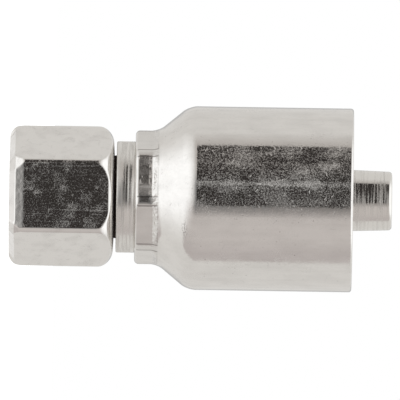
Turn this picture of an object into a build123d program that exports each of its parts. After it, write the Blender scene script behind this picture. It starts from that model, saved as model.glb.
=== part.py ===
from build123d import *
import math
import os

# Straight crimp hose fitting for a quarter inch hydraulic hose, with a 37 degree flare swivel nut.
# It stands on the front face of its nut: the axis is Z, z = 0 is the nut's front face, and the
# hose tail points up. One facet of the nut faces -Y, so two of its corners lie on X.
# Three turned steel pieces: the swivel nut, the nipple with its hose tail, and the crimped ferrule.
# All sizes are in millimetres and all angles in degrees.

# Radial clearance between the nut and the nipple that it turns on
swivel_clearance = 0.07

# Swivel nut: 9/16 inch hexagon, 7/16-20 UNF thread, back end swaged over the nipple's head
nut_across_flats = 14.29
nut_length = 12.16
nut_edge_round = 0.65           # tumbled edges of the hexagon
nut_front_round = 1.5           # turned ends, which round off the corners
nut_back_round = 2.0
nut_back_slope = 4.0            # the swaged back face is slightly conical
turning_margin = 0.06           # from the tumbled corners to the circle the ends are turned from
thread_minor_diameter = 9.84
thread_height = 0.635           # minor to major, on the radius
thread_entry_margin = 0.2       # the entry chamfer opens this far beyond the thread's major radius
lip_length = 1.1                # swaged lip that runs on the nipple's neck
lip_mouth = 0.2                 # chamfer at the lip's outer end

# Nipple: cone seat and head inside the nut, then the neck and the collar behind the nut
flow_bore_diameter = 4.2
neck_diameter = 9.62
head_shoulder_height = 0.74     # the head stands this far above the neck, on a 45 degree shoulder
head_length = 3.0               # cylindrical part of the head
head_edge = 0.2                 # chamfer round the head's front edge
head_front_gap = 0.3            # from the head's front to the end of the nut's thread
seat_rim = 0.85                 # flat ring between the cone seat and the head's edge
seat_half_angle = 37.0
collar_gap = 0.27               # the dark gap between the nut and the collar
collar_diameter = 12.93
collar_length = 2.17
collar_edge = 0.15

# Nipple: barrel inside the ferrule's neck, with the groove that the neck is crimped into
barrel_diameter = 10.5
barrel_front_land = 0.7
barrel_groove_depth = 0.5       # the groove's flanks are at 45 degrees
barrel_groove_length = 1.9      # across its mouth
barrel_back_land = 0.8

# Nipple: barbed hose tail, with a plain land and a tapered tip that stands out of the ferrule
tail_diameter = 7.26            # crests of the barbs, and the plain land after them
barb_depth = 0.42
barb_count = 5
barb_crest_share = 0.16         # flat crest of a barb, as a share of the pitch
barb_start = 1.6                # from the foot of the barrel to the first barb
tail_land_length = 3.0
tail_taper_start = 2.2          # the taper starts this far inside the ferrule's mouth
tail_taper_angle = 2.0
tail_projection = 4.57          # how far the tail stands out of the ferrule's mouth
tail_tip_round = 0.4
tail_bore_edge = 0.2

# Ferrule: crimped neck, with flats pressed by the crimping jaws and ridges left between them
ferrule_length = 25.3
neck_wall = 2.12                # at the middle of a flat
neck_length = 2.67              # front face to the foot of the cone, before rounding
neck_front_round = 0.5          # on the ridges
flat_count = 8
flat_depth = 0.4                # the flats lie this far below the ridges
flat_length = 2.93
flat_front_round = 0.25
flat_end_round = 0.9            # edge radius of the jaws, left at the flats' inner end
flat_turn = 3.4                 # turn of the flats from the nut's facets

# Ferrule: conical shoulder, plain body, toothed hose socket
shoulder_half_angle = 39.6
shoulder_foot_round = 2.33
shoulder_top_round = 2.75
socket_diameter = 16.5          # crests of the teeth
tooth_depth = 0.65
tooth_count = 5
tooth_crest_share = 0.3         # flat crest of a tooth, as a share of the pitch
ferrule_wall = 1.78             # at the roots of the teeth
mouth_land_length = 1.6         # plain socket inside the mouth
mouth_inner_edge = 0.5
mouth_outer_round = 0.3

# Turned roundings are cut as short flats: a small one is a single chamfer, and a large one turns
# by this much at most from flat to flat.
small_rounding = 0.6
rounding_turn = 30.0

# Radii
bore_r = flow_bore_diameter / 2
neck_r = neck_diameter / 2
head_r = neck_r + head_shoulder_height
seat_r = head_r - seat_rim
collar_r = collar_diameter / 2
barrel_r = barrel_diameter / 2
groove_r = barrel_r - barrel_groove_depth
tail_r = tail_diameter / 2
barb_root_r = tail_r - barb_depth
thread_minor_r = thread_minor_diameter / 2
thread_entry_r = thread_minor_r + thread_height + thread_entry_margin
lip_r = neck_r + swivel_clearance
chamber_r = head_r + swivel_clearance
flat_r = barrel_r + neck_wall
ridge_r = flat_r + flat_depth
socket_r = socket_diameter / 2
tooth_root_r = socket_r + tooth_depth
body_r = tooth_root_r + ferrule_wall

# Heights along the axis, from the nut's front face
neck_start_z = nut_length - lip_length
head_back_z = neck_start_z - head_shoulder_height
head_front_z = head_back_z - head_length
thread_end_z = head_front_z - head_front_gap
collar_z = nut_length + collar_gap
ferrule_z = collar_z + collar_length
groove_z = ferrule_z + barrel_front_land
barrel_end_z = groove_z + barrel_groove_length + barrel_back_land
mouth_z = ferrule_z + ferrule_length
tail_end_z = mouth_z + tail_projection

# Shape of the conical shoulder, inside and out: radius gained for each millimetre of height
shoulder_slope = math.tan(math.radians(shoulder_half_angle))


def rounded(before, corner, after, rounding):
    """Points on the arc that rounds the corner between its two neighbours in an outline."""
    to_before = (before - corner).normalized()
    to_after = (after - corner).normalized()
    half_angle = math.radians(to_before.get_angle(to_after)) / 2
    reach = rounding / math.tan(half_angle)
    to_middle = (to_before + to_after).normalized() * (rounding / math.sin(half_angle) - rounding)
    arc = ThreePointArc(corner + to_before * reach, corner + to_middle, corner + to_after * reach)
    flats = 1
    if rounding > small_rounding:
        flats = math.ceil((180 - 2 * math.degrees(half_angle)) / rounding_turn)
    return [arc @ (index / flats) for index in range(flats + 1)]


def turned(outline):
    """A solid turned about Z, from (radius, height, rounding) points in order round its section."""
    corners = [Vector(r, z) for r, z, _ in outline]
    points = []
    for index, corner in enumerate(corners):
        rounding = outline[index][2]
        if rounding:
            after = corners[(index + 1) % len(corners)]
            points += rounded(corners[index - 1], corner, after, rounding)
        else:
            points.append(corner)
    section = make_face(Polyline(*points, close=True))
    return revolve(Plane.XZ * section, axis=Axis.Z)


def crimped_barrel():
    """The outline that the nipple's barrel and the ferrule's neck share, from the front up."""
    return [
        (barrel_r, ferrule_z, 0),
        (barrel_r, groove_z, 0),
        (groove_r, groove_z + barrel_groove_depth, 0),
        (groove_r, groove_z + barrel_groove_length - barrel_groove_depth, 0),
        (barrel_r, groove_z + barrel_groove_length, 0),
        (barrel_r, barrel_end_z, 0),
    ]


def swivel_nut():
    """Hexagon nut: thread in front, chamber for the nipple's head, swaged lip at the back."""
    hexagon = RegularPolygon(nut_across_flats / 2, 6, major_radius=False)
    prism = extrude(hexagon, nut_length)
    prism = fillet(prism.edges(), nut_edge_round)

    # The turned ends start just outside the tumbled corners.
    sharp_corner_r = nut_across_flats / 2 / math.cos(math.radians(30))
    corner_cut = nut_edge_round * (1 / math.cos(math.radians(30)) - 1)
    blank_r = sharp_corner_r - corner_cut + turning_margin
    back_drop = (blank_r - lip_r) * math.tan(math.radians(nut_back_slope))
    blank = turned([
        (thread_entry_r, 0, 0),
        (blank_r, 0, nut_front_round),
        (blank_r, nut_length - back_drop, nut_back_round),
        (lip_r + lip_mouth, nut_length, 0),
        (lip_r, nut_length - lip_mouth, 0),
        (lip_r, neck_start_z, 0),
        (chamber_r, neck_start_z - (chamber_r - lip_r), 0),
        (chamber_r, thread_end_z, 0),
        (thread_minor_r, thread_end_z, 0),
        (thread_minor_r, thread_entry_r - thread_minor_r, 0),
    ])
    return prism & blank


def nipple():
    """One turned insert: cone seat and head, neck, collar, grooved barrel, barbed tail, bore."""
    seat_depth = (seat_r - bore_r) / math.tan(math.radians(seat_half_angle))
    tail_foot_z = barrel_end_z + barrel_r - barb_root_r
    taper_z = mouth_z - tail_taper_start
    tip_r = tail_r - (tail_end_z - taper_z) * math.tan(math.radians(tail_taper_angle))

    # Each barb rises in one step on its nut side and slopes down to its root towards the tip,
    # and the last one is followed by the plain land.
    first_barb_z = tail_foot_z + barb_start
    land_z = taper_z - tail_land_length
    barb_pitch = (land_z - first_barb_z) / barb_count
    barbs = []
    for index in range(barb_count):
        z = first_barb_z + index * barb_pitch
        barbs += [
            (barb_root_r, z, 0),
            (tail_r, z, 0),
            (tail_r, z + barb_crest_share * barb_pitch, 0),
        ]

    return turned([
        (bore_r, head_front_z + seat_depth, 0),
        (seat_r, head_front_z, 0),
        (head_r - head_edge, head_front_z, 0),
        (head_r, head_front_z + head_edge, 0),
        (head_r, head_back_z, 0),
        (neck_r, neck_start_z, 0),
        (neck_r, collar_z, 0),
        (collar_r - collar_edge, collar_z, 0),
        (collar_r, collar_z + collar_edge, 0),
        (collar_r, ferrule_z, 0),
        *crimped_barrel(),
        (barb_root_r, tail_foot_z, 0),
        *barbs,
        (barb_root_r, land_z, 0),
        (tail_r, land_z, 0),
        (tail_r, taper_z, 0),
        (tip_r, tail_end_z, tail_tip_round),
        (bore_r + tail_bore_edge, tail_end_z, 0),
        (bore_r, tail_end_z - tail_bore_edge, 0),
    ])


def crimping_jaw():
    """The space that one jaw pressed flat, on the -Y side: flat, with both its ends rounded."""
    front_round = CenterArc(
        (flat_r - flat_front_round, ferrule_z + flat_front_round), flat_front_round, -90, 90
    )
    sides = FilletPolyline(
        front_round @ 1,
        (flat_r, ferrule_z + flat_length),
        (body_r, ferrule_z + flat_length),
        (body_r, ferrule_z),
        front_round @ 0,
        radius=(flat_end_round, 0, 0),
    )
    section = Plane.XZ * make_face(front_round + sides)
    return Rot(Z=-90) * extrude(section, ridge_r, both=True)


def ferrule():
    """Shell crimped on to the barrel: neck with flats, cone, plain body, toothed hose socket."""
    shoulder_z = ferrule_z + neck_length
    body_z = shoulder_z + (body_r - ridge_r) / shoulder_slope
    socket_z = barrel_end_z + (socket_r - barrel_r) / shoulder_slope
    land_z = mouth_z - mouth_land_length
    tooth_pitch = (land_z - socket_z) / tooth_count

    # Listed from the mouth down. Each tooth has a ramp on the mouth side and drops straight to
    # its root on the nut side, so that the hose slides in but can't pull out.
    teeth = []
    for index in reversed(range(tooth_count)):
        z = socket_z + index * tooth_pitch
        teeth += [
            (socket_r, z + tooth_pitch, 0),
            (tooth_root_r, z + tooth_pitch, 0),
            (socket_r, z + tooth_crest_share * tooth_pitch, 0),
        ]

    shell = turned([
        (ridge_r, ferrule_z, neck_front_round),
        (ridge_r, shoulder_z, shoulder_foot_round),
        (body_r, body_z, shoulder_top_round),
        (body_r, mouth_z, mouth_outer_round),
        (socket_r + mouth_inner_edge, mouth_z, 0),
        (socket_r, mouth_z - mouth_inner_edge, 0),
        *teeth,
        (socket_r, socket_z, 0),
        *reversed(crimped_barrel()),
    ])
    flat_pitch = 360 / flat_count
    for index in range(flat_count):
        shell -= Rot(Z=flat_turn + (index + 0.5) * flat_pitch) * crimping_jaw()
    return shell


os.makedirs("parts", exist_ok=True)
for piece in (swivel_nut, nipple, ferrule):
    export_step(piece(), f"parts/{piece.__name__}.step")
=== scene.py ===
import math

import bmesh
import bpy
from mathutils import Matrix, Vector


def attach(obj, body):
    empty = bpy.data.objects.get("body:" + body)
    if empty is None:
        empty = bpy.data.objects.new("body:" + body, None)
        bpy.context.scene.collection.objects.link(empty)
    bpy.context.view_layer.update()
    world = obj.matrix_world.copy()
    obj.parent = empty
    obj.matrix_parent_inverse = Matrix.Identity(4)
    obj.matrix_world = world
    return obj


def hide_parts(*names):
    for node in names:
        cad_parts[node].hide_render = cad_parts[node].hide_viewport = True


# Straight crimp hose fitting: hexagon swivel nut, barbed nipple and crimped ferrule, all of steel
# with bright zinc plate. The axis is Z and z = 0 is the nut's front face, as in the solids.
# Sizes are in millimetres until a finished mesh is scaled to metres.

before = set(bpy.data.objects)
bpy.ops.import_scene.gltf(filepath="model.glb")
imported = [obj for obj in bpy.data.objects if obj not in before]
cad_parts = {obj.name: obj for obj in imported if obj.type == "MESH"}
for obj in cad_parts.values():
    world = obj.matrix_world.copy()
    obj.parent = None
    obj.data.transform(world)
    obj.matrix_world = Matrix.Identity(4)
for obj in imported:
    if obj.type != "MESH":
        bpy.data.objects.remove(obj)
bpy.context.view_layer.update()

MM = 0.001
MICROMETRE = 1e-6


def linear(hex_colour):
    """An sRGB hex colour as the linear colour that a node takes."""
    channels = [int(hex_colour[i:i + 2], 16) / 255 for i in (1, 3, 5)]
    return [c / 12.92 if c <= 0.04045 else ((c + 0.055) / 1.055) ** 2.4 for c in channels] + [1]


def add(tree, kind, inputs=None, **settings):
    """Adds a node with its settings. An input is a value, or a socket to link from."""
    made = tree.nodes.new("ShaderNode" + kind)
    for name, value in settings.items():
        setattr(made, name, value)
    for name, value in (inputs or {}).items():
        if isinstance(value, bpy.types.NodeSocket):
            tree.links.new(value, made.inputs[name])
        else:
            made.inputs[name].default_value = value
    return made


# Nut, as in the solids
NUT_LENGTH = 12.16
NUT_EDGE_ROUND = 0.65
NUT_BLANK_R = 8.21
NUT_FRONT_ROUND = 1.5
NUT_BACK_ROUND = 2.0
NUT_BACK_EDGE_Z = 11.98
LIP_R = 4.88
LIP_MOUTH = 0.2
NECK_START_Z = 11.06
CHAMBER_R = 5.62
THREAD_MINOR_R = 4.92
THREAD_DEPTH = 0.635
THREAD_PITCH = 25.4 / 20
THREAD_END_Z = 7.02
THREAD_ENTRY_R = 5.755
THREAD_RUN_OUT = 0.5
# Shares of the thread's pitch: half the flat at its root, and a flank
THREAD_ROOT_HALF = 0.0625
THREAD_FLANK = 0.29

# Nipple, as in the solids
BORE_R = 2.1
HEAD_FRONT_Z = 7.32
HEAD_BACK_Z = 10.32
HEAD_R = 5.55
SEAT_R = 4.70
NECK_R = 4.81
COLLAR_Z = 12.43
COLLAR_R = 6.465
FERRULE_Z = 14.60
BARREL_R = 5.25
GROOVE_R = 4.75
GROOVE_Z = 15.30
GROOVE_END_Z = 17.20
GROOVE_FLANK = 0.5
BARREL_END_Z = 18.00
BARB_ROOT_R = 3.21
TAIL_R = 3.63
TAIL_FOOT_Z = 20.04
FIRST_BARB_Z = 21.64
LAND_Z = 34.70
BARB_COUNT = 5
# Share of a barb's pitch that has the full radius
BARB_CREST = 0.16
TAPER_Z = 37.70
TIP_R = 3.394
TAIL_END_Z = 44.47

# Ferrule, as in the solids
RIDGE_R = 7.77
FLAT_R = 7.37
SHOULDER_Z = 17.27
BODY_Z = 20.79
BODY_R = 10.68
MOUTH_Z = 39.90
SOCKET_R = 8.25
SOCKET_Z = 21.63
TOOTH_ROOT_R = 8.90
TOOTH_COUNT = 5
# Share of a tooth's pitch that has the socket's radius
TOOTH_CREST = 0.3
MOUTH_LAND_Z = 38.3
MOUTH_CHAMFER = 0.5
FLAT_COUNT = 8
FLAT_TURN = 3.4

# How the jaws left the flats: rounded in front, rising in a ramp at the back, with soft edges
FLAT_FRONT_ROUND = 0.42
FLAT_END_Z = 16.68
FLAT_END_SLOPE = 0.95
FLAT_SOFTNESS = 0.12

# Every turned edge that the drawing leaves sharp is broken by this much.
BROKEN_EDGE = 0.06

# Sectors that a turned mesh is built from
SECTORS = 12


def turned(outline, steps, fine_zones=()):
    """A bmesh turned about Z from an outline of (radius, height, rounding) corners.

    In a fine zone, (lowest z, highest z, smallest radius, longest edge), the outline's runs are
    divided, so that vertices there can be moved afterwards.
    """
    mesh = bmesh.new()
    corners = [mesh.verts.new((r, 0, z)) for r, z, _ in outline]
    for a, b in zip(corners, corners[1:] + corners[:1]):
        mesh.edges.new((a, b))
    for corner, (_, _, rounding) in zip(corners, outline):
        before, after = [edge.other_vert(corner).co for edge in corner.link_edges]
        angle = (before - corner.co).angle(after - corner.co)
        size = rounding or BROKEN_EDGE
        bmesh.ops.bevel(
            mesh, geom=[corner], affect="VERTICES", offset=size / math.tan(angle / 2),
            segments=12 if size > 1 else 6 if size > 0.3 else 3, profile=0.5, material=-1,
        )
    for low, high, smallest_r, longest in fine_zones:
        for edge in list(mesh.edges):
            a, b = [vert.co for vert in edge.verts]
            middle = (a + b) / 2
            cuts = math.ceil((a - b).length / longest) - 1
            if cuts > 0 and low <= middle.z <= high and middle.x >= smallest_r:
                bmesh.ops.subdivide_edges(mesh, edges=[edge], cuts=cuts)
    # One sector is spun and then repeated round the axis, which is far quicker than a full spin.
    sector = math.tau / SECTORS
    bmesh.ops.spin(
        mesh, geom=list(mesh.verts) + list(mesh.edges), cent=(0, 0, 0), axis=(0, 0, 1),
        angle=sector, steps=steps // SECTORS, use_merge=False, use_duplicate=False,
    )
    bmesh.ops.spin(
        mesh, geom=list(mesh.verts) + list(mesh.edges) + list(mesh.faces), cent=(0, 0, 0),
        axis=(0, 0, 1), angle=math.tau - sector, steps=SECTORS - 1,
        use_merge=False, use_duplicate=True,
    )
    bmesh.ops.remove_doubles(mesh, verts=list(mesh.verts), dist=1e-4)
    bmesh.ops.recalc_face_normals(mesh, faces=list(mesh.faces))
    return mesh


def move_to_radius(vert, target):
    """Moves a vertex to another radius, at the same angle and height."""
    r = math.hypot(vert.co.x, vert.co.y)
    vert.co.x *= target / r
    vert.co.y *= target / r


def finished(mesh, name, body, node, material):
    """Turns a finished bmesh in millimetres into the piece that stands for a node."""
    bmesh.ops.scale(mesh, vec=(MM, MM, MM), verts=list(mesh.verts))
    data = bpy.data.meshes.new(name)
    mesh.to_mesh(data)
    mesh.free()
    data.polygons.foreach_set("use_smooth", [True] * len(data.polygons))
    data.set_sharp_from_angle(angle=math.radians(40))
    data.materials.append(material)
    piece = bpy.data.objects.new(name, data)
    bpy.context.scene.collection.objects.link(piece)
    normals = piece.modifiers.new("true_runs", "WEIGHTED_NORMAL")
    normals.keep_sharp = True
    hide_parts(node)
    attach(piece, body)
    return piece


def soft_least(a, b, width):
    """The lesser of two sizes, with the corner between them rounded over a width."""
    blend = max(width - abs(a - b), 0) / width
    return min(a, b) - blend * blend * width / 4


# Materials

# Colour of dirt, and of the painted shade in the ferrule's creases
DIRT_AND_SHADE_COLOUR = "#6A6460"

# The swivel gap between nut and collar is dark with grease and with painted shade, which stands in
# for the shade that falls between the parts.
GREASE_AND_SHADE_COLOUR = "#4A403A"
GREASE_ROUGHNESS = 0.7
SWIVEL_GAP_R = 4.95
SWIVEL_GAP_Z = 10.9
SWIVEL_GAP_END_Z = 12.41

# Where the nut's rolled front fades, and where its dull swaged end begins, each as two heights
ROLLED_END = (1.5, 2.1)
SWAGED_START = (11.75, 12.0)

# Where the nipple's coarser turning in front fades into the finer behind
COARSE_TURNING_END = (20.0, 25.0)

# Half the width of a jaw's flat, whose long edges are where the flat meets the ridges, and the
# radius at which those edges lie, softened as they are
FLAT_HALF_WIDTH = math.sqrt(RIDGE_R ** 2 - FLAT_R ** 2)
FLAT_EDGE_R = 7.7

# Where the jaws' own finish ends, and where their rougher mark near that end begins
PRESSED_END = (17.2, 17.4)
JAW_MARK_START = (16.2, 16.9)

# Lines that drawing left on the ferrule, as (degrees left of its front, strength)
DRAW_LINES = ((9.4, 1.0), (22.0, 0.25))

# Places on the ferrule that were rubbed, and one on its shoulder that was knocked
RUBBED_PLACES = ((-4.9, -9.6, 37.4), (-4.4, -9.7, 25.2))
KNOCKED_PLACE = (3.7, -9.6, 20.4)


def calc(tree, operation, *values):
    """The result of one Math node."""
    return add(tree, "Math", dict(enumerate(values)), operation=operation).outputs[0]


def spread(tree, value, low, high, to_low=0.0, to_high=1.0):
    """A value carried over from one range to another, and held at the ends."""
    return add(tree, "MapRange", {
        "Value": value, "From Min": low, "From Max": high, "To Min": to_low, "To Max": to_high,
    }).outputs[0]


def noise(tree, place, per_mm, stretch=(1, 1, 1), detail=2.0, low=0.35, high=0.65):
    """Noise from 0 to 1 with this many features a millimetre; a small scale draws an axis out."""
    drawn_out = add(tree, "Mapping", {"Vector": place, "Scale": stretch})
    made = add(tree, "TexNoise", {
        "Vector": drawn_out.outputs[0], "Scale": per_mm, "Detail": detail,
    })
    return spread(tree, made.outputs["Fac"], low, high)


def scratches(tree, place, per_mm, width, share):
    """Short curved scratches, from 0 to 1: parts of the edges of large bent cells."""
    bend = add(tree, "TexNoise", {"Vector": place, "Scale": per_mm * 1.5, "Detail": 2.0})
    bent = add(tree, "VectorMath", {
        0: bend.outputs["Color"], 1: (1.2, 1.2, 1.2), 2: place,
    }, operation="MULTIPLY_ADD")
    cells = add(tree, "TexVoronoi", {
        "Vector": bent.outputs[0], "Scale": per_mm,
    }, feature="DISTANCE_TO_EDGE")
    line = spread(tree, cells.outputs["Distance"], 0.0, width * per_mm / 2, 1.0, 0.0)
    there = noise(tree, place, per_mm * 2, detail=1.0, low=0.72 - share, high=0.77 - share)
    return calc(tree, "MULTIPLY", line, there)


def pits(tree, place, per_mm, share):
    """Small round pits, from 0 to 1, in a share of the cells."""
    cells = add(tree, "TexVoronoi", {"Vector": place, "Scale": per_mm})
    bowl = spread(tree, cells.outputs["Distance"], 0.15, 0.45, 1.0, 0.0)
    chance = add(tree, "SeparateColor", {0: cells.outputs["Color"]})
    there = calc(tree, "LESS_THAN", chance.outputs[0], share)
    return calc(tree, "MULTIPLY", bowl, there)


def plate(name):
    """A new material, its tree, and the place on the part in millimetres with its X, Y and Z."""
    material = bpy.data.materials.new(name)
    material.use_nodes = True
    tree = material.node_tree
    tree.nodes.clear()
    coordinates = add(tree, "TexCoord")
    place = add(tree, "Mapping", {"Vector": coordinates.outputs["Object"], "Scale": (1 / MM,) * 3})
    xyz = add(tree, "SeparateXYZ", {0: place.outputs[0]})
    return material, tree, place.outputs[0], xyz.outputs


def finish_plate(tree, xyz, colour, rough, darkening, height, turned_marks=0.0):
    """Gives plate its colour, its roughness, its darkening from 0 to 1, which is dirt and on the
    ferrule also painted shade, and its height in micrometres.

    Turned marks, from 0 to 1, spread what it mirrors along the axis more than round it.
    """
    across = add(tree, "CombineXYZ", {"X": xyz["X"], "Y": xyz["Y"]})
    r = add(tree, "VectorMath", {0: across.outputs[0]}, operation="LENGTH").outputs["Value"]
    inside = calc(tree, "LESS_THAN", r, SWIVEL_GAP_R)
    above = calc(tree, "GREATER_THAN", xyz["Z"], SWIVEL_GAP_Z)
    below = calc(tree, "LESS_THAN", xyz["Z"], SWIVEL_GAP_END_Z)
    greased_and_shaded = calc(tree, "MULTIPLY", inside, calc(tree, "MULTIPLY", above, below))
    darkened = add(tree, "Mix", {
        0: darkening, 6: linear(colour), 7: linear(DIRT_AND_SHADE_COLOUR),
    }, data_type="RGBA")
    # Grease and painted shade darken the neck in the swivel gap.
    shade = add(tree, "Mix", {
        0: greased_and_shaded, 6: darkened.outputs[2], 7: linear(GREASE_AND_SHADE_COLOUR),
    }, data_type="RGBA")
    bump = add(tree, "Bump", {"Height": height, "Strength": 1.0, "Distance": MICROMETRE})
    grease_rough = calc(tree, "MULTIPLY", greased_and_shaded, GREASE_ROUGHNESS)
    shader = add(tree, "BsdfPrincipled", {
        "Base Color": shade.outputs[2], "Metallic": 1.0, "Normal": bump.outputs[0],
        "Roughness": calc(tree, "MAXIMUM", rough, grease_rough),
        "Anisotropic": turned_marks,
        "Tangent": add(tree, "Tangent", direction_type="RADIAL", axis="Z").outputs[0],
    })
    output = add(tree, "OutputMaterial")
    tree.links.new(shader.outputs[0], output.inputs[0])


def total(tree, *parts):
    """The sum of (value, amount) pairs."""
    result = 0.0
    for value, amount in parts:
        result = calc(tree, "MULTIPLY_ADD", value, amount, result)
    return result


def nut_plate():
    """Bright zinc plate on drawn hexagon bar, tumbled: finely mottled, dented and scratched."""
    material, tree, place, xyz = plate("tumbled_zinc_plate")
    grain = noise(tree, place, 6.0, detail=1.0, low=0.42, high=0.66)
    patches = noise(tree, place, 0.6, detail=5.0, low=0.47, high=0.66)
    draw_lines = noise(tree, place, 4.0, stretch=(1, 1, 0.02), detail=3.0, low=0.55, high=0.72)
    marks = scratches(tree, place, 0.6, 0.13, 0.16)
    swaged = spread(tree, xyz["Z"], *SWAGED_START)
    rough = total(
        tree, (grain, 0.12), (patches, 0.09), (draw_lines, 0.09), (marks, 0.11), (swaged, 0.3),
        (1.0, 0.006),
    )
    rolled = spread(tree, xyz["Z"], *ROLLED_END, 1.0, 0.0)
    dents = calc(tree, "MULTIPLY", noise(tree, place, 1.8, detail=3.0), rolled)
    height = total(
        tree, (grain, 0.4), (noise(tree, place, 1.3, detail=1.0), 1.5), (draw_lines, 0.5),
        (marks, -1.5), (dents, 8.0),
    )
    darkening = total(tree, (marks, 0.1), (patches, 0.09))
    finish_plate(tree, xyz, "#E4E1DD", rough, darkening, height)
    return material


def nipple_plate():
    """Bright zinc plate over turning marks, which run round the axis and are coarser in front."""
    material, tree, place, xyz = plate("zinc_plate_on_turned_steel")
    fine = noise(tree, place, 4.5, stretch=(0.05, 0.05, 1), detail=1.0, low=0.42, high=0.60)
    coarse = noise(tree, place, 1.5, stretch=(0.03, 0.03, 1), detail=1.0, low=0.4, high=0.6)
    grain = noise(tree, place, 6.5)
    in_front = spread(tree, xyz["Z"], *COARSE_TURNING_END, 1.0, 0.0)
    marks = calc(tree, "MULTIPLY", fine, spread(tree, coarse, 0.0, 1.0, 0.7, 1.0))
    rough = total(tree, (marks, 0.24), (grain, 0.07), (in_front, 0.08), (1.0, 0.02))
    height = total(tree, (fine, 0.5), (coarse, 0.5), (grain, 0.2))
    darkening = calc(tree, "MULTIPLY", marks, 0.03)
    finish_plate(tree, xyz, "#E2DFDA", rough, darkening, height, turned_marks=0.9)
    return material


def draw_line(tree, angle, wander, left_of_front):
    """A dull line that drawing left along the part, so many degrees left of its front."""
    away = calc(tree, "ABSOLUTE", calc(tree, "ADD", angle, math.radians(left_of_front)))
    width = spread(tree, wander, 0.0, 1.0, 0.02, 0.055)
    return spread(tree, calc(tree, "DIVIDE", away, width), 0.2, 1.0, 1.0, 0.0)


def ferrule_plate():
    """Bright zinc plate over drawn steel: lengthwise streaks, fine pits, and jaw-pressed flats."""
    material, tree, place, xyz = plate("zinc_plate_on_drawn_steel")
    grain = noise(tree, place, 6.0, detail=1.0, low=0.42, high=0.66)
    patches = noise(tree, place, 0.45, stretch=(1, 1, 0.6), detail=5.0, low=0.43, high=0.63)
    streaks = noise(tree, place, 1.1, stretch=(1, 1, 0.04), detail=4.0, low=0.46, high=0.62)
    speckled = pits(tree, place, 4.5, 0.006)
    blotches = noise(tree, place, 0.6, stretch=(1, 1, 0.5), detail=4.0, low=0.4, high=0.65)
    # The jaws left their own even finish on the flats, and a crease along each edge of a flat,
    # which painted shade darkens.
    angle = calc(tree, "ARCTAN2", xyz["X"], calc(tree, "MULTIPLY", xyz["Y"], -1.0))
    turned_by = calc(tree, "SUBTRACT", angle, math.radians(FLAT_TURN))
    one_flat = calc(tree, "FLOORED_MODULO", turned_by, math.tau / FLAT_COUNT)
    from_middle = calc(tree, "SUBTRACT", one_flat, math.pi / FLAT_COUNT)
    offset = calc(tree, "MULTIPLY", calc(tree, "SINE", from_middle), FLAT_EDGE_R)
    sideways = calc(tree, "ABSOLUTE", offset)
    to_edge = calc(tree, "ABSOLUTE", calc(tree, "SUBTRACT", sideways, FLAT_HALF_WIDTH))
    pressed = spread(tree, xyz["Z"], *PRESSED_END, 1.0, 0.0)
    outside = calc(tree, "GREATER_THAN", xyz["Z"], FERRULE_Z + 0.25)
    on_neck = calc(tree, "MULTIPLY", pressed, outside)
    jaw_end = calc(tree, "MULTIPLY", pressed, spread(tree, xyz["Z"], *JAW_MARK_START))
    crease_and_shade = calc(tree, "MULTIPLY", spread(tree, to_edge, 0.03, 0.12, 1.0, 0.0), on_neck)
    # A broken line of painted shade where each flat ends at the shoulder
    to_end = calc(tree, "ABSOLUTE", calc(tree, "SUBTRACT", xyz["Z"], SHOULDER_Z))
    shade_line_at_jaw_end = calc(
        tree, "MULTIPLY", spread(tree, to_end, 0.02, 0.1, 1.0, 0.0),
        calc(tree, "MULTIPLY", calc(tree, "LESS_THAN", sideways, FLAT_HALF_WIDTH), patches),
    )
    # The rubbed places are dull in patches.
    rubbed = 0.0
    for rubbed_place in RUBBED_PLACES:
        away = add(tree, "VectorMath", {0: place, 1: rubbed_place}, operation="DISTANCE")
        spot = spread(tree, away.outputs["Value"], 0.5, 2.4, 1.0, 0.0)
        dull = spread(tree, patches, 0.0, 1.0, 0.3, 1.0)
        rubbed = calc(tree, "MULTIPLY_ADD", spot, dull, rubbed)
    # The knock is a group of small nicks, longer round the part than along it.
    knock = add(tree, "VectorMath", {0: place, 1: KNOCKED_PLACE}, operation="SUBTRACT")
    squeezed = add(tree, "VectorMath", {
        0: knock.outputs[0], 1: (0.45, 0.45, 1.3),
    }, operation="MULTIPLY")
    from_knock = add(tree, "VectorMath", {0: squeezed.outputs[0]}, operation="LENGTH")
    nicks = calc(
        tree, "MULTIPLY", spread(tree, from_knock.outputs["Value"], 0.15, 0.6, 1.0, 0.0),
        noise(tree, place, 7.0, stretch=(0.5, 0.5, 1.2), detail=3.0, low=0.46, high=0.6),
    )
    marks = scratches(tree, place, 0.7, 0.12, 0.11)
    wander = noise(tree, place, 0.5, detail=2.0)
    drawn = total(tree, *(
        (draw_line(tree, angle, wander, degrees), strength) for degrees, strength in DRAW_LINES
    ))
    unpressed_grain = calc(tree, "MULTIPLY", grain, calc(tree, "SUBTRACT", 1.0, pressed))
    rough = total(
        tree, (unpressed_grain, 0.15), (patches, 0.095), (streaks, 0.04), (drawn, 0.09),
        (pressed, 0.085), (rubbed, 0.10), (marks, 0.12), (1.0, 0.008),
    )
    jaw_marks = noise(tree, place, 3.0, stretch=(1, 1, 0.5))
    height = total(
        tree, (grain, 1.0), (noise(tree, place, 1.0, detail=1.0), 1.8), (streaks, 0.4),
        (jaw_marks, calc(tree, "MULTIPLY", jaw_end, 25.0)), (crease_and_shade, -15.0), (nicks, -6.0),
        (marks, -5.0),
    )
    # Painted shade darkens the creases and the flats' ends. The pits, nicks, blotches, streaks and
    # scratches are dirt and wear, and the pressed neck is a little darker.
    darkening = total(
        tree, (crease_and_shade, 0.55), (speckled, 0.4), (on_neck, 0.06), (blotches, 0.07), (nicks, 0.6),
        (shade_line_at_jaw_end, 0.35), (streaks, 0.03), (marks, 0.08),
    )
    finish_plate(tree, xyz, "#E4E1DD", rough, darkening, height)
    return material


# Pieces

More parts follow.
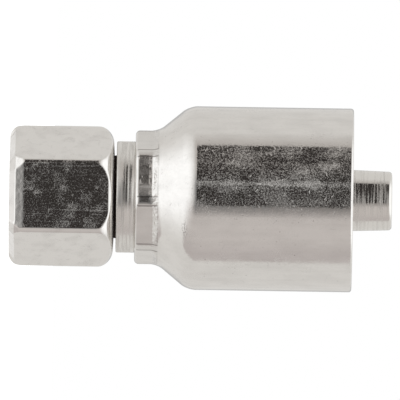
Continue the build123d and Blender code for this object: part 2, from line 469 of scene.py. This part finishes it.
# The shape that rolling and tumbling gave the hexagon, which the solids simplify
HEXAGON_APOTHEM = 7.19
HEXAGON_ROUND = 0.9
ROLLED_FRONT_Z = 1.63
ROLLED_SLOPE = 0.096

# The front chamfer starts lower at a corner, within this reach of it.
CHAMFER_Z = 0.68
CORNER_CHAMFER_Z = 0.2
CORNER_REACH = math.radians(6)
CHAMFER_DEPTH = 0.09
CHAMFER_SLOPE = 1.5

# How far from the front each of the six corners is knocked off, in order from +X. The knocked
# face is steeper over a share of its height in front.
WORN_CORNERS = (0.1, 0.7, 1.1, 0.1, 1.65, 1.3)
WORN_SLOPE = 0.5
STEEP_SHARE = 0.45

# Widths over which the nut's faces run into each other
WORN_SOFTNESS = 0.08
BLANK_SOFTNESS = 0.1

# How closely the nut's columns crowd together at its corners, from 0 for evenly spaced to 1
CROWDING = 0.8

# Vertices further out than this belong to the outside of the nut or the ferrule's neck.
NUT_OUTSIDE_R = 5.9
NECK_OUTSIDE_R = 6.0

# Shallow lines that the turning tool left round the collar, as (height, depth)
TOOL_MARKS = ((13.45, 0.003), (13.84, 0.009))
TOOL_MARK_HALF = 0.07


def off_corner(angle):
    """The angle from the nearest corner of the hexagon, which has one at +X."""
    return (angle + math.radians(30)) % math.radians(60) - math.radians(30)


def end_inset(distance, rounding):
    """How far a face has drawn back at this distance from an end that is rounded off."""
    if distance >= rounding:
        return 0
    return rounding - math.sqrt(rounding ** 2 - (rounding - distance) ** 2)


def hexagon_r(angle, apothem):
    """Radius of the hexagon with tumbled corners, at an angle from +X."""
    from_corner = off_corner(angle)
    facet_angle = math.radians(30) - abs(from_corner)
    flat = apothem / math.cos(facet_angle)
    # The rounded corner is part of a circle whose centre lies on the corner's line.
    centre = (apothem - HEXAGON_ROUND) / math.cos(math.radians(30))
    side = centre * math.sin(abs(from_corner))
    if side > HEXAGON_ROUND * math.sin(math.radians(30)):
        return flat
    return centre * math.cos(from_corner) + math.sqrt(HEXAGON_ROUND ** 2 - side ** 2)


def facet_apothem(angle, z):
    """How far a facet lies from the axis: it is rolled off and chamfered at the front."""
    on_facet = min(abs(off_corner(angle)) / CORNER_REACH, 1) ** 2
    chamfer_z = CORNER_CHAMFER_Z + (CHAMFER_Z - CORNER_CHAMFER_Z) * on_facet
    rolled = HEXAGON_APOTHEM - ROLLED_SLOPE * max(ROLLED_FRONT_Z - z, 0)
    chamfer = HEXAGON_APOTHEM - CHAMFER_DEPTH - CHAMFER_SLOPE * (chamfer_z - z)
    front = soft_least(rolled, chamfer, WORN_SOFTNESS)
    return front - end_inset(NUT_LENGTH - z, NUT_EDGE_ROUND)


def worn_corner(angle, z):
    """Radius of the slanting face knocked on the front of the nearest corner, at a height."""
    worn = WORN_CORNERS[round(angle / math.radians(60)) % 6]
    corner_r = hexagon_r(0, HEXAGON_APOTHEM)
    reach = corner_r - WORN_SLOPE * (worn - z) - max(STEEP_SHARE * worn - z, 0)
    return reach / math.cos(off_corner(angle))


def thread_r(angle, z):
    """Radius of the nut's bore with its right-hand 60 degree thread."""
    turn = (z / THREAD_PITCH - angle / math.tau) % 1
    from_root = abs(turn - 0.5)
    depth = min(max((THREAD_ROOT_HALF + THREAD_FLANK - from_root) / THREAD_FLANK, 0), 1)
    run_out = min(max((THREAD_END_Z - z) / THREAD_RUN_OUT, 0), 1)
    return THREAD_MINOR_R + THREAD_DEPTH * depth * run_out


def swivel_nut():
    """Hexagon nut: a turned blank drawn in to the facets, with the thread cut in its bore."""
    entry_z = THREAD_ENTRY_R - THREAD_MINOR_R
    thread_top = THREAD_END_Z - 0.05
    mesh = turned([
        (THREAD_ENTRY_R, 0, 0.1),
        (NUT_BLANK_R, 0, NUT_FRONT_ROUND),
        (NUT_BLANK_R, NUT_BACK_EDGE_Z, NUT_BACK_ROUND),
        (LIP_R + LIP_MOUTH, NUT_LENGTH, 0),
        (LIP_R, NUT_LENGTH - LIP_MOUTH, 0),
        (LIP_R, NECK_START_Z, 0),
        (CHAMBER_R, NECK_START_Z - (CHAMBER_R - LIP_R), 0),
        (CHAMBER_R, THREAD_END_Z, 0),
        (THREAD_MINOR_R, THREAD_END_Z, 0),
        (THREAD_MINOR_R, entry_z, 0),
    ], 300, (
        (-1, 2.6, NUT_OUTSIDE_R, 0.09),
        (9.0, NUT_LENGTH + 1, NUT_OUTSIDE_R, 0.09),
        (0, thread_top, 0, 0.08),
    ))
    for vert in mesh.verts:
        r = math.hypot(vert.co.x, vert.co.y)
        z = vert.co.z
        angle = math.atan2(vert.co.y, vert.co.x)
        # The columns crowd towards the six corners, where the surface turns fastest.
        angle -= CROWDING / 6 * math.sin(6 * angle)
        vert.co.x = r * math.cos(angle)
        vert.co.y = r * math.sin(angle)
        if r > NUT_OUTSIDE_R:
            facet_r = hexagon_r(angle, facet_apothem(angle, z))
            target = soft_least(r, facet_r, BLANK_SOFTNESS)
            target = soft_least(target, worn_corner(angle, z), WORN_SOFTNESS)
            move_to_radius(vert, target)
        elif r < THREAD_ENTRY_R - 0.02 and 0.1 < z < thread_top:
            move_to_radius(vert, max(r, thread_r(angle, z)))
    return finished(
        mesh, "swivel_nut_tumbled", "nut", "swivel_nut", nut_plate(),
    )


def nipple():
    """One turned insert: cone seat, head, neck, collar, grooved barrel, barbed tail and bore."""
    seat_depth = (SEAT_R - BORE_R) / math.tan(math.radians(37))
    pitch = (LAND_Z - FIRST_BARB_Z) / BARB_COUNT
    barbs = []
    for index in range(BARB_COUNT):
        z = FIRST_BARB_Z + index * pitch
        barbs += [(BARB_ROOT_R, z, 0), (TAIL_R, z, 0), (TAIL_R, z + BARB_CREST * pitch, 0)]
    tool_marks = []
    for z, depth in TOOL_MARKS:
        tool_marks += [
            (COLLAR_R, z - TOOL_MARK_HALF, 0.01),
            (COLLAR_R - depth, z, 0.01),
            (COLLAR_R, z + TOOL_MARK_HALF, 0.01),
        ]
    mesh = turned([
        (BORE_R, HEAD_FRONT_Z + seat_depth, 0.3),
        (SEAT_R, HEAD_FRONT_Z, 0),
        (HEAD_R, HEAD_FRONT_Z, 0.2),
        (HEAD_R, HEAD_BACK_Z, 0),
        (NECK_R, NECK_START_Z, 0),
        (NECK_R, COLLAR_Z, 0),
        (COLLAR_R, COLLAR_Z, 0.15),
        *tool_marks,
        (COLLAR_R, FERRULE_Z, 0),
        (BARREL_R, FERRULE_Z, 0),
        (BARREL_R, GROOVE_Z, 0),
        (GROOVE_R, GROOVE_Z + GROOVE_FLANK, 0),
        (GROOVE_R, GROOVE_END_Z - GROOVE_FLANK, 0),
        (BARREL_R, GROOVE_END_Z, 0),
        (BARREL_R, BARREL_END_Z, 0),
        (BARB_ROOT_R, TAIL_FOOT_Z, 0),
        *barbs,
        (BARB_ROOT_R, LAND_Z, 0),
        (TAIL_R, LAND_Z, 0),
        (TAIL_R, TAPER_Z, 0.5),
        (TIP_R, TAIL_END_Z, 0.4),
        (BORE_R, TAIL_END_Z, 0.2),
    ], 192)
    return finished(
        mesh, "nipple_turned", "stem", "nipple", nipple_plate(),
    )


def ferrule():
    """Shell turned with its cone and teeth, then pressed flat by eight jaws round its neck."""
    pitch = (MOUTH_LAND_Z - SOCKET_Z) / TOOTH_COUNT
    teeth = []
    for index in reversed(range(TOOTH_COUNT)):
        z = SOCKET_Z + index * pitch
        teeth += [
            (SOCKET_R, z + pitch, 0),
            (TOOTH_ROOT_R, z + pitch, 0),
            (SOCKET_R, z + TOOTH_CREST * pitch, 0),
        ]
    mesh = turned([
        (RIDGE_R, FERRULE_Z, 0.5),
        (RIDGE_R, SHOULDER_Z, 2.33),
        (BODY_R, BODY_Z, 2.75),
        (BODY_R, MOUTH_Z, 0.3),
        (SOCKET_R + MOUTH_CHAMFER, MOUTH_Z, 0),
        (SOCKET_R, MOUTH_Z - MOUTH_CHAMFER, 0),
        *teeth,
        (SOCKET_R, SOCKET_Z, 0),
        (BARREL_R, BARREL_END_Z, 0),
        (BARREL_R, GROOVE_END_Z, 0),
        (GROOVE_R, GROOVE_END_Z - GROOVE_FLANK, 0),
        (GROOVE_R, GROOVE_Z + GROOVE_FLANK, 0),
        (BARREL_R, GROOVE_Z, 0),
        (BARREL_R, FERRULE_Z, 0),
    ], 384, (
        (FERRULE_Z - 1, FERRULE_Z + 4.2, NECK_OUTSIDE_R, 0.08),
    ))
    flat_pitch = math.tau / FLAT_COUNT
    for vert in mesh.verts:
        r = math.hypot(vert.co.x, vert.co.y)
        z = vert.co.z
        if r < NECK_OUTSIDE_R or z > FLAT_END_Z + 2:
            continue
        angle = math.atan2(vert.co.x, -vert.co.y) - math.radians(FLAT_TURN)
        from_middle = angle % flat_pitch - flat_pitch / 2
        inset = end_inset(z - FERRULE_Z, FLAT_FRONT_ROUND)
        lift = -soft_least(0, FLAT_END_SLOPE * (FLAT_END_Z - z), FLAT_SOFTNESS)
        flat = (FLAT_R - inset + lift) / math.cos(from_middle)
        move_to_radius(vert, soft_least(r, flat, FLAT_SOFTNESS))
    return finished(
        mesh, "ferrule_crimped", "stem", "ferrule", ferrule_plate(),
    )


swivel_nut()
nipple()
ferrule()


# Floor, world and camera

FLOOR_SIZE = 0.6


def background_rays(tree):
    """1 for a ray from the camera, and 1 for one from a mirror or through glass."""
    path = add(tree, "LightPath").outputs
    return path["Is Camera Ray"], calc(
        tree, "MAXIMUM", path["Is Glossy Ray"], path["Is Transmission Ray"],
    )


def floor():
    """Plain white floor at the nut's front face, with the object's soft shadow on it.

    Glossy rays pass it, because the lamp that the cone mirrors stands below it.
    """
    mesh = bmesh.new()
    bmesh.ops.create_grid(mesh, x_segments=1, y_segments=1, size=FLOOR_SIZE)
    data = bpy.data.meshes.new("floor")
    mesh.to_mesh(data)
    mesh.free()
    material = bpy.data.materials.new("floor_white")
    material.use_nodes = True
    tree = material.node_tree
    tree.nodes.clear()
    diffuse = add(tree, "BsdfDiffuse", {"Color": linear("#E8E8E8")})
    glow = add(tree, "Emission", {"Color": linear("#FFFFFF"), "Strength": 0.6})
    lit = add(tree, "MixShader", {
        0: calc(tree, "MAXIMUM", *background_rays(tree)), 2: glow.outputs[0],
    })
    shown = add(tree, "AddShader", {0: diffuse.outputs[0], 1: lit.outputs[0]})
    output = add(tree, "OutputMaterial")
    tree.links.new(shown.outputs[0], output.inputs[0])
    data.materials.append(material)
    made = bpy.data.objects.new("floor", data)
    bpy.context.scene.collection.objects.link(made)
    made.visible_glossy = False


def studio_world():
    """A light tent, as the plate mirrors it: light walls, soft lamps above and below, a grey
    panel on the right, and in front a narrow dark card with the dim shape of the camera.

    Right and left are as the camera's side sees the part standing. The card is narrow, so that
    only the upright faces and the tapered tail mirror it. Turns and heights are in degrees.
    """
    world = bpy.data.worlds.new("light_tent")
    bpy.context.scene.world = world
    world.use_nodes = True
    tree = world.node_tree
    tree.nodes.clear()
    direction = add(tree, "TexCoord").outputs["Generated"]
    xyz = add(tree, "SeparateXYZ", {0: direction}).outputs
    azimuth = calc(tree, "ARCTAN2", xyz["X"], calc(tree, "MULTIPLY", xyz["Y"], -1.0))
    turn = calc(tree, "MULTIPLY", azimuth, math.degrees(1))
    height = calc(tree, "MULTIPLY", calc(tree, "ARCSINE", xyz["Z"]), math.degrees(1))
    aside = calc(tree, "ABSOLUTE", turn)
    tilt = calc(tree, "ABSOLUTE", height)

    def window(value, start, full, still_full, end):
        """1 from full to still_full, fading to 0 at start and end."""
        rise = spread(tree, value, start, full)
        fall = spread(tree, value, still_full, end, 1.0, 0.0)
        return calc(tree, "MULTIPLY", rise, fall)

    def put(factor, below, colour):
        """Lays a colour, hex or linear, over the shade below it."""
        laid = linear(colour) if isinstance(colour, str) else [*colour, 1]
        return add(tree, "Mix", {0: factor, 6: below, 7: laid}, data_type="RGBA").outputs[2]

    def both(*factors):
        """1 only where all the factors are 1."""
        result = 1.0
        for factor in factors:
            result = calc(tree, "MULTIPLY", result, factor)
        return result

    # Walls, with a darker edge on the far side that outlines the part
    shade = linear("#E5E4E2")
    far = both(spread(tree, aside, 158, 166), window(tilt, -1, 0, 14, 22))
    shade = put(far, shade, (0.55, 0.55, 0.55))
    shade = put(window(tilt, 15, 45, 90, 91), shade, "#E9E8E6")
    # Grey panel on the right, darker towards its far edge
    panel = both(window(turn, 8, 10, 85, 87), window(tilt, -1, 0, 44, 54))
    shade = put(panel, shade, "#D3CECC")
    darker = both(panel, window(turn, 55, 75, 85, 87))
    shade = put(darker, shade, "#C9C3C2")
    # Soft edges of the card on the left and right
    left_edge = both(window(turn, -92, -74, -40, -20), window(tilt, -1, 0, 10, 22))
    shade = put(left_edge, shade, "#C8C4C1")
    right_edge = both(window(turn, 7, 9, 9.5, 25), window(tilt, -1, 0, 7, 30))
    shade = put(right_edge, shade, (0.225, 0.205, 0.195))
    # Dim shape of the camera and whoever holds it
    halo = both(window(turn, -40, -18, 10, 24), window(height, -30, -7, 0, 1))
    shade = put(halo, shade, (0.25, 0.25, 0.25))
    # Soft lamps below and above, as (direction, degrees from it where full, and where gone)
    for lamp, full, gone in (
        ((-0.27, -0.385, -0.883), 24, 60),
        ((-0.05, -0.40, 0.915), 42, 68),
    ):
        toward = add(tree, "VectorMath", {0: direction, 1: lamp}, operation="DOT_PRODUCT")
        gone_at, full_at = [math.cos(math.radians(degrees)) for degrees in (gone, full)]
        glow = spread(tree, toward.outputs["Value"], gone_at, full_at)
        shade = put(both(glow, glow), shade, (1.30, 1.32, 1.34))
    # The dark card: a strip for the upright faces, and another that the tapered tail mirrors
    card = window(turn, -71, -70, 8.5, 10)
    for strip in (window(height, -1.85, -1.7, 2.2, 2.4), window(height, 2.9, 3.1, 5.5, 5.8)):
        shade = put(both(card, strip), shade, (0.039, 0.035, 0.033))

    # The white background, which the plate mirrors too where the tent is open, behind the part
    camera_ray, mirror_ray = background_rays(tree)
    behind = both(spread(tree, aside, 150, 165), spread(tree, tilt, 20, 30))
    background = calc(tree, "MAXIMUM", camera_ray, both(mirror_ray, behind))
    studio = add(tree, "Background", {"Color": shade, "Strength": 1.0})
    white = add(tree, "Background", {"Color": linear("#FFFFFF"), "Strength": 1.0})
    seen = add(tree, "MixShader", {0: background, 1: studio.outputs[0], 2: white.outputs[0]})
    output = add(tree, "OutputWorld")
    tree.links.new(seen.outputs[0], output.inputs[0])


# The picture is square, this many millimetres wide at the part, and centred on this X and Z.
PICTURE_WIDTH = 46.52
PICTURE_CENTRE = (0.203, 22.16)
CLOCKWISE = math.radians(0.9)
CAMERA_DISTANCE = 2.0
SENSOR = 36.0


def camera():
    """Looks along +Y at the fitting lying on its side, as the photograph shows it.

    The picture's right is +Z and its top is -X, all turned a little clockwise.
    """
    data = bpy.data.cameras.new("camera")
    data.sensor_width = SENSOR
    data.lens = SENSOR * CAMERA_DISTANCE / (PICTURE_WIDTH * MM)
    data.clip_start = 0.01
    data.clip_end = 10
    made = bpy.data.objects.new("camera", data)
    bpy.context.scene.collection.objects.link(made)
    right = Vector((-math.sin(CLOCKWISE), 0, math.cos(CLOCKWISE)))
    up = Vector((-math.cos(CLOCKWISE), 0, -math.sin(CLOCKWISE)))
    back = Vector((0, -1, 0))
    made.matrix_world = Matrix((right, up, back)).transposed().to_4x4()
    centre_x, centre_z = PICTURE_CENTRE
    made.location = (centre_x * MM, -CAMERA_DISTANCE, centre_z * MM)
    bpy.context.scene.camera = made


floor()
studio_world()
camera()
bpy.context.scene.view_settings.view_transform = "Standard"
